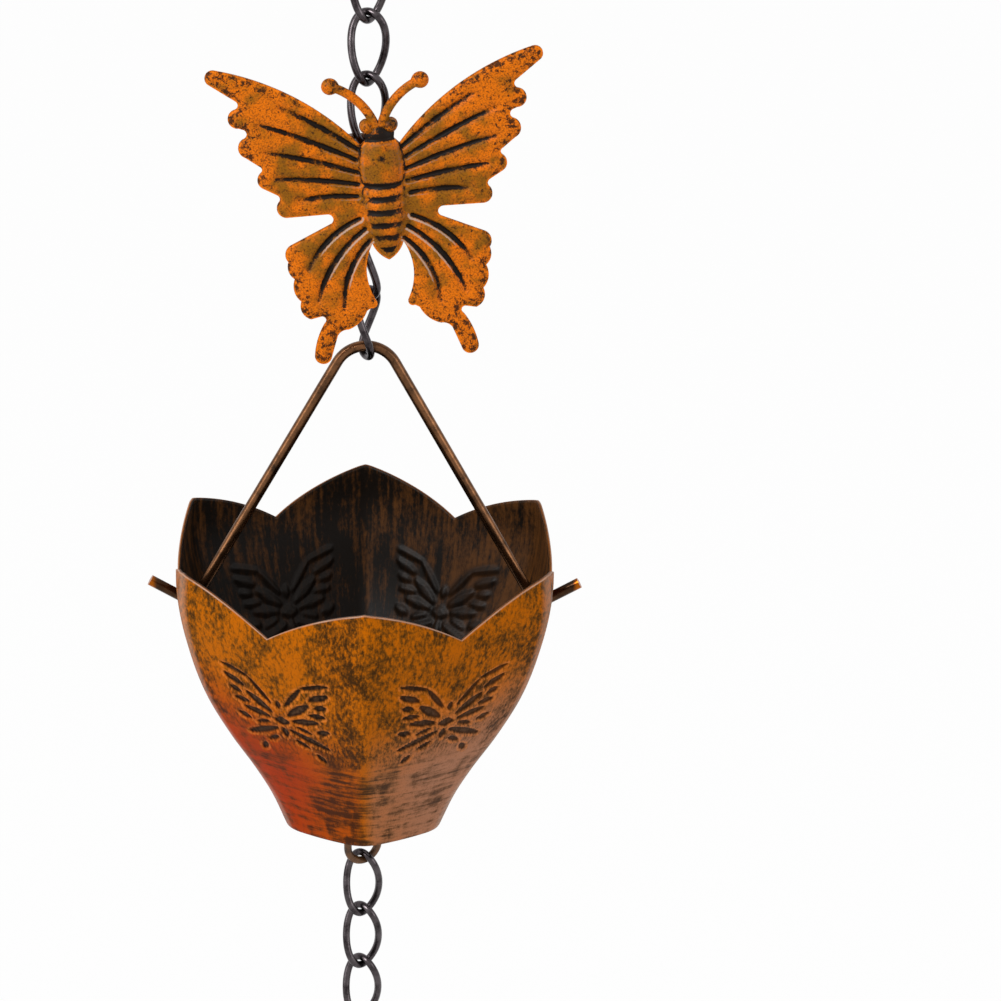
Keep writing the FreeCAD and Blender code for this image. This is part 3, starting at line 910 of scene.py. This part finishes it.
def cup_outside(tree, side, brush, blots, grain):
    """Brushed orange with painted red reflected light low on the left and a painted pinkish-brown sheen
    low on the right, black in the stamps.
    """
    hollows_and_shadow, ridge, down = stored(tree, "hollows_and_shadow"), stored(tree, "ridge"), stored(tree, "down")
    tone = weighted(tree, (brush, 0.6), (blots, 0.4))
    base = mixed(tree, levels(tree, tone, 0.42, 0.60), CUP_ORANGE, CUP_OLIVE)
    away = number(tree, "ABSOLUTE", side)
    low = levels(tree, weighted(tree, (down, 1.0), (away, 0.4)), 36.0, 68.0)
    left = weighted(tree, (levels(tree, side, 1.5, -3.0), 0.5), (levels(tree, side, -2.0, -24.0), 0.4))
    right = weighted(tree, (levels(tree, side, -0.5, 4.0), 0.5), (levels(tree, side, 3.0, 20.0), 0.35))
    # Painted red reflected light low on the left.
    base = laid_on(tree, base, REFLECTED_RED, low, left)
    # Painted pinkish-brown sheen low on the right.
    base = laid_on(tree, base, PINK_SHEEN, low, right)
    base = laid_on(tree, base, BROWN, levels(tree, grain, 0.5, 0.66), 0.4)
    near_front = levels(tree, number(tree, "ABSOLUTE", number(tree, "ADD", side, 6.0)), 10.0, 2.0)
    streaky = times(tree, near_front, low)
    dark = weighted(tree, (brush, 0.62), (blots, 0.53), (grain, 0.1),
                    (near_front, 0.05), (streaky, 0.04))
    painted = laid_on(tree, base, BROWN, levels(tree, dark, 0.58, 0.71), 0.6)
    painted = laid_on(tree, painted, BLACK_BROWN, levels(tree, dark, 0.66, 0.77), 0.65)
    outer_wear = times(tree, levels(tree, away, 14.0, 20.0), levels(tree, ridge, 3.2, 0.4))
    painted = laid_on(tree, painted, PALE_WEAR_AND_HIGHLIGHT, outer_wear, 0.32)
    plain = number(tree, "SUBTRACT", 1.0, hollows_and_shadow)
    ridges = times(tree, levels(tree, stored(tree, "halo"), 0.5, 0.9), plain)
    rubbed = weighted(tree, (levels(tree, brush, 0.58, 0.42), 0.5), (1.0, 0.06))
    painted = laid_on(tree, painted, RIDGE_ORANGE, ridges, rubbed)
    filled = weighted(tree, (hollows_and_shadow, 0.85), (brush, 0.45))
    painted = laid_on(tree, painted, BROWN, levels(tree, filled, 0.45, 0.75), 0.6)
    black = weighted(tree, (levels(tree, side, 0.0, 30.0), -0.22), (1.0, 0.94))
    painted = laid_on(tree, painted, BLACK_BROWN, levels(tree, filled, 0.62, 1.0), black)
    # Lighter grey-brown in patches over the middle of each cell's floor.
    lighter_cell_floor = times(tree, stored(tree, "floor"), levels(tree, brush, 0.62, 0.40))
    return laid_on(tree, painted, CELL_FLOOR, lighter_cell_floor, 0.8), dark


def cup_paint():
    """The cup's paint: brushed orange outside, dark and lightly brushed inside, worn and with a painted
    highlight at the rim.
    """
    material, tree, shader = new_material("cup_rust")
    sheet = sheet_place(tree)
    side = sideways_in_mm(tree)
    upright = noise(tree, stretched(tree, sheet, (0.9, 0.5, 7.0)), 1.0, 6, 0.7)
    level = noise(tree, stretched(tree, sheet, (0.055, 0.6, 7.0)), 1.0, 6, 0.66)
    blots = noise(tree, stretched(tree, sheet, (0.12, 0.08, 9.0)), 1.0, 5, 0.62)
    grain = noise(tree, stretched(tree, sheet, (1.9, 1.1, 7.0)), 1.0, 4, 0.7)
    low = levels(tree, stored(tree, "down"), 48.0, 56.0)
    high = number(tree, "SUBTRACT", 1.0, low)
    brush = weighted(tree, (upright, high), (level, low))
    outside, dark = cup_outside(tree, side, brush, blots, grain)
    streaks = noise(tree, stretched(tree, sheet, (0.45, 0.05, 7.0)), 1.0, 6, 0.6)
    brushed = weighted(tree, (streaks, 0.5), (dark, 0.5), (levels(tree, side, 0.0, 45.0), -0.08))
    within = mixed(tree, levels(tree, brushed, 0.42, 0.60), CUP_INSIDE_BRUSHED, CUP_INSIDE)
    within = laid_on(tree, within, CUP_INSIDE, stored(tree, "halo"), 0.85)
    colour = mixed(tree, stored(tree, "inside"), outside, within)
    # Pale along the rim's top: worn edge, and painted highlight there too.
    rubbed = weighted(tree, (levels(tree, blots, 0.40, 0.60), 0.45), (1.0, 0.5))
    colour = laid_on(tree, colour, LIP_PALE, levels(tree, stored(tree, "lip"), 0.5, 0.9), rubbed)
    tree.links.new(colour, shader.inputs["Base Color"])
    tree.links.new(weighted(tree, (grain, 0.3), (1.0, 0.3)), shader.inputs["Roughness"])
    sheen = weighted(tree, (stored(tree, "inside"), 0.1), (1.0, 0.03))
    tree.links.new(sheen, shader.inputs["Specular IOR Level"])
    add_bump(tree, shader, weighted(tree, (brush, 0.6), (grain, 0.4)), 0.35, 0.12)
    return material


def painted_tips(tree, colour):
    """Dark wire with orange ends where the bail leaves the cup."""
    away = number(tree, "ABSOLUTE", sideways_in_mm(tree))
    colour = laid_on(tree, colour, BLACK_BROWN, levels(tree, away, 50.0, 54.0), 0.7)
    tip = levels(tree, away, bail_reach - 2.6, bail_reach - 1.0)
    return laid_on(tree, colour, CUP_ORANGE, tip, 0.75)


def wire_paint(name, light, dark, roughness, metallic, spots, tips=False):
    """Wire finish with lighter and darker patches, which on the chain also serve as painted highlights.
    """
    material, tree, shader = new_material(name)
    place = place_in_mm(tree)
    clouds = noise(tree, place, 0.25, 5, 0.6)
    fine = noise(tree, place, 1.6, 4, 0.6)
    share = levels(tree, weighted(tree, (clouds, 1.0), (fine, spots)), 0.45, 0.65 + spots)
    colour = mixed(tree, share, light, dark)
    if tips:
        colour = painted_tips(tree, colour)
    tree.links.new(colour, shader.inputs["Base Color"])
    tree.links.new(weighted(tree, (fine, 0.16), (1.0, roughness)), shader.inputs["Roughness"])
    shader.inputs["Metallic"].default_value = metallic
    add_bump(tree, shader, fine, 0.06, 0.08)
    return material


# Studio

def add_camera():
    """Camera at the photograph's place, looking a little down."""
    data = bpy.data.cameras.new("camera")
    data.sensor_width = 36.0
    data.lens = camera_lens
    data.shift_x = camera_shift
    data.clip_end = 50.0
    camera = bpy.data.objects.new("camera", data)
    tilt = Matrix.Rotation(math.radians(90 - camera_pitch), 4, "X")
    roll = Matrix.Rotation(math.radians(camera_roll), 4, "Z")
    camera.matrix_world = Matrix.Translation(camera_place) @ tilt @ roll
    bpy.context.scene.collection.objects.link(camera)
    bpy.context.scene.camera = camera


def background_seen(tree):
    """1 for rays that show the background itself: straight, mirrored or through glass."""
    path = tree.nodes.new("ShaderNodeLightPath")
    seen = path.outputs["Is Camera Ray"]
    for kind in ("Is Glossy Ray", "Is Transmission Ray"):
        seen = number(tree, "MAXIMUM", seen, path.outputs[kind])
    return seen


def add_floor():
    """Wide white floor well below the hanging chain; it reads white and keeps shadows."""
    mesh = bpy.data.meshes.new("floor")
    signs = ((-1, -1), (1, -1), (1, 1), (-1, 1))
    corners = [(x * floor_half, y * floor_half, floor_z) for x, y in signs]
    mesh.from_pydata(corners, [], [(0, 1, 2, 3)])
    floor = bpy.data.objects.new("floor", mesh)
    bpy.context.scene.collection.objects.link(floor)
    material, tree, shader = new_material("white_floor")
    shader.inputs["Base Color"].default_value = (0.85, 0.85, 0.85, 1.0)
    shader.inputs["Roughness"].default_value = 0.9
    glow = tree.nodes.new("ShaderNodeEmission")
    share = times(tree, background_seen(tree), floor_glow)
    blend = tree.nodes.new("ShaderNodeMixShader")
    tree.links.new(share, blend.inputs[0])
    tree.links.new(shader.outputs[0], blend.inputs[1])
    tree.links.new(glow.outputs[0], blend.inputs[2])
    tree.links.new(blend.outputs[0], tree.nodes["Material Output"].inputs["Surface"])
    mesh.materials.append(material)


def add_world():
    """Even white surroundings, at full white where they are seen or mirrored."""
    world = bpy.data.worlds.new("studio")
    bpy.context.scene.world = world
    world.use_nodes = True
    tree = world.node_tree
    background = tree.nodes["Background"]
    background.inputs["Color"].default_value = (1.0, 1.0, 1.0, 1.0)
    strength = weighted(tree, (background_seen(tree), 1 - world_light), (1.0, world_light))
    tree.links.new(strength, background.inputs["Strength"])


def add_lamp(name, place, size, power):
    """A soft square lamp aimed at the middle of the part."""
    data = bpy.data.lights.new(name, "AREA")
    data.size = size
    data.energy = power
    lamp = bpy.data.objects.new(name, data)
    lamp.location = place
    direction = Vector(lamp_target) - lamp.location
    lamp.rotation_euler = direction.to_track_quat("-Z", "Y").to_euler()
    bpy.context.scene.collection.objects.link(lamp)


add_camera()
add_floor()
add_world()
for lamp_name, (lamp_place, lamp_size, lamp_power) in lamps.items():
    add_lamp(lamp_name, lamp_place, lamp_size, lamp_power)

butterfly_piece = butterfly()
butterfly_piece.data.materials.append(butterfly_paint())
cup_piece = cup()
cup_piece.data.materials.clear()
cup_piece.data.materials.append(cup_paint())

# Gunmetal with light and dark patches, contrasted enough to be painted highlights along the links too.
chain_metal_and_painted_highlights = wire_paint("chain_gunmetal", srgb(86, 80, 82), srgb(30, 25, 27), 0.16, 1.0, 0.3)
bail_finish = wire_paint("bail_bronze", srgb(118, 80, 52), srgb(49, 35, 25), 0.2, 0.95, 0.3, True)
loop_finish = wire_paint("loop_bronze", srgb(110, 70, 34), srgb(36, 26, 20), 0.28, 0.3, 0.3)

for body, members in frame["record"]["behaviour"]["bodies"].items():
    for node in members:
        if node in link_turns:
            chain_link(node, body).data.materials.append(chain_metal_and_painted_highlights)

for node, finish in (("bail", bail_finish), ("upper_staple", loop_finish), ("lower_staple", loop_finish),
                     ("cup_loop", loop_finish)):
    mesh = frame["nodes"][node].data
    mesh.materials.clear()
    mesh.materials.append(finish)

bpy.context.scene.view_settings.view_transform = "Standard"
